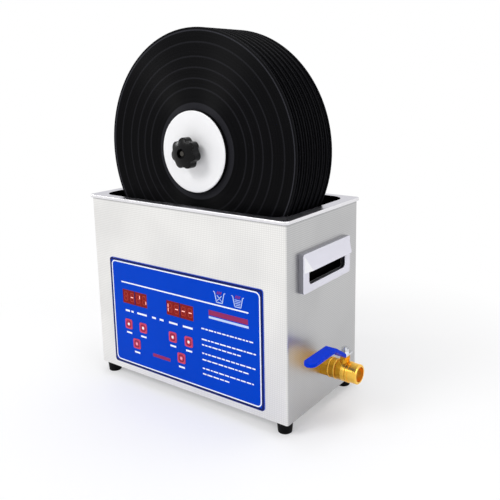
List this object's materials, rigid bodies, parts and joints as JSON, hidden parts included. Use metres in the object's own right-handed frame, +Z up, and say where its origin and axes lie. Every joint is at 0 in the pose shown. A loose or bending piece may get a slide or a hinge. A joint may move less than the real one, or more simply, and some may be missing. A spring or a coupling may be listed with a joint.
{
  "type": "ultrasonic record cleaning machine",
  "caption": "Bench-top ultrasonic bath with a digit panel, drain valve and carry handles; a motorised rack turns a stack of records dipped in the bath.",
  "frame": {"origin": "middle of the underside of the whole machine's box, on the surface that its feet stand on", "axes": "+Z up; +X to the right when facing the control panel; the panel faces -Y; the back wall and the rack's motor face +Y"},
  "size_m": [0.3874, 0.2222, 0.4785],
  "materials": {
    "steel": "embossed and polished stainless steel",
    "tank_steel": "deep drawn stainless steel",
    "zinc": "zinc plated",
    "panel": "blue printed, satin",
    "display": "dark red tinted window",
    "board": "green solder resist",
    "aluminium": "turned",
    "ceramic": "silvered piezo ceramic",
    "back_mass": "steel, oiled",
    "silicone": "silicone heating mat",
    "rubber": "moulded",
    "brass": "nickel washed brass",
    "seat": "white fluoropolymer",
    "handle": "pressed and powder coated",
    "black_plastic": "fine moulded texture",
    "key": "red moulded key",
    "sleeve": "dipped vinyl",
    "bronze": "sintered bronze",
    "motor": "zinc plated can",
    "label_cover": "white moulded",
    "vinyl": "grooved vinyl"
  },
  "bodies": {
    "cleaner": {"housing": "steel", "tank": "tank_steel", "base_plate": "zinc", "rubber_feet": "rubber", "foot_screws": "zinc", "control_panel": "panel", "temperature_display": "display", "timer_display": "display", "control_board": "board", "transducer_front_masses": "aluminium", "piezo_rings": "ceramic", "transducer_back_masses": "back_mass", "heating_pads": "silicone", "generator_board": "board", "heat_sink": "aluminium", "drain_fitting": "tank_steel", "drain_elbow": "brass", "valve_body": "brass", "valve_seats": "seat", "outlet_nipple": "brass", "right_carry_handle": "handle", "left_carry_handle": "handle", "handle_cups": "black_plastic", "mains_inlet": "black_plastic", "switch_frame": "black_plastic", "fan_frame": "black_plastic", "fan_guard": "zinc"},
    "rack_hanger": {"hanger_bracket": "steel"},
    "rack_carriage": {"motor_plate": "steel", "spindle_bush": "bronze", "gear_motor": "motor", "motor_cover": "black_plastic", "dc_jack": "black_plastic"},
    "lock_knob": {"height_knob": "black_plastic"},
    "record_spindle": {"spindle": "steel", "rear_label_cover": "label_cover", "front_label_cover": "label_cover", "label_spacers": "label_cover", "record_1": "vinyl", "record_2": "vinyl", "record_3": "vinyl", "record_4": "vinyl", "record_5": "vinyl", "record_6": "vinyl", "record_7": "vinyl", "record_8": "vinyl"},
    "front_knob": {"star_knob": "black_plastic"},
    "valve_handle": {"valve_ball": "zinc", "valve_stem": "zinc", "valve_lever": "zinc", "lever_sleeve": "sleeve", "lever_nut": "zinc"},
    "switch_rocker": {"rocker": "black_plastic"},
    "fan": {"fan_rotor": "black_plastic"},
    "key_temp_up_cap": {"key_temp_up": "key"},
    "key_temp_down_cap": {"key_temp_down": "key"},
    "key_heat_cap": {"key_heat": "key"},
    "key_time_up_cap": {"key_time_up": "key"},
    "key_time_down_cap": {"key_time_down": "key"},
    "key_run_cap": {"key_run": "key"}
  },
  "joints": [
    {"name": "rack_lift", "type": "slide", "parent": "cleaner", "child": "rack_hanger", "axis": [0, 0, 1], "range_m": [0, 0.12]},
    {"name": "rack_height", "type": "slide", "parent": "rack_hanger", "child": "rack_carriage", "axis": [0, 0, 1], "range_m": [0, 0.05]},
    {"name": "spindle_turn", "type": "hinge", "parent": "rack_carriage", "child": "record_spindle", "pos_m": [-0.00725, 0.04685, 0.328], "axis": [0, 1, 0], "continuous": true},
    {"name": "star_knob_turn", "type": "hinge", "parent": "record_spindle", "child": "front_knob", "pos_m": [-0.00725, -0.09815, 0.328], "axis": [0, 1, 0], "continuous": true},
    {"name": "height_knob_turn", "type": "hinge", "parent": "rack_carriage", "child": "lock_knob", "pos_m": [-0.05225, 0.04985, 0.3], "axis": [1, 0, 0], "continuous": true},
    {"name": "valve_turn", "type": "hinge", "parent": "cleaner", "child": "valve_handle", "pos_m": [0.17325, -0.02315, 0.06], "axis": [0, 0, 1], "range_deg": [0, 90]},
    {"name": "switch_rock", "type": "hinge", "parent": "cleaner", "child": "switch_rocker", "pos_m": [-0.07825, 0.05785, 0.061], "axis": [1, 0, 0], "range_deg": [0, 16]},
    {"name": "fan_spin", "type": "hinge", "parent": "cleaner", "child": "fan", "pos_m": [0.05675, 0.05185, 0.061], "axis": [0, 1, 0], "continuous": true},
    {"name": "key_temp_up_press", "type": "slide", "parent": "cleaner", "child": "key_temp_up_cap", "axis": [0, 1, 0], "range_m": [0, 0.0005], "stiffness_N_per_m": 1500},
    {"name": "key_temp_down_press", "type": "slide", "parent": "cleaner", "child": "key_temp_down_cap", "axis": [0, 1, 0], "range_m": [0, 0.0005], "stiffness_N_per_m": 1500},
    {"name": "key_heat_press", "type": "slide", "parent": "cleaner", "child": "key_heat_cap", "axis": [0, 1, 0], "range_m": [0, 0.0005], "stiffness_N_per_m": 1500},
    {"name": "key_time_up_press", "type": "slide", "parent": "cleaner", "child": "key_time_up_cap", "axis": [0, 1, 0], "range_m": [0, 0.0005], "stiffness_N_per_m": 1500},
    {"name": "key_time_down_press", "type": "slide", "parent": "cleaner", "child": "key_time_down_cap", "axis": [0, 1, 0], "range_m": [0, 0.0005], "stiffness_N_per_m": 1500},
    {"name": "key_run_press", "type": "slide", "parent": "cleaner", "child": "key_run_cap", "axis": [0, 1, 0], "range_m": [0, 0.0005], "stiffness_N_per_m": 1500}
  ]
}
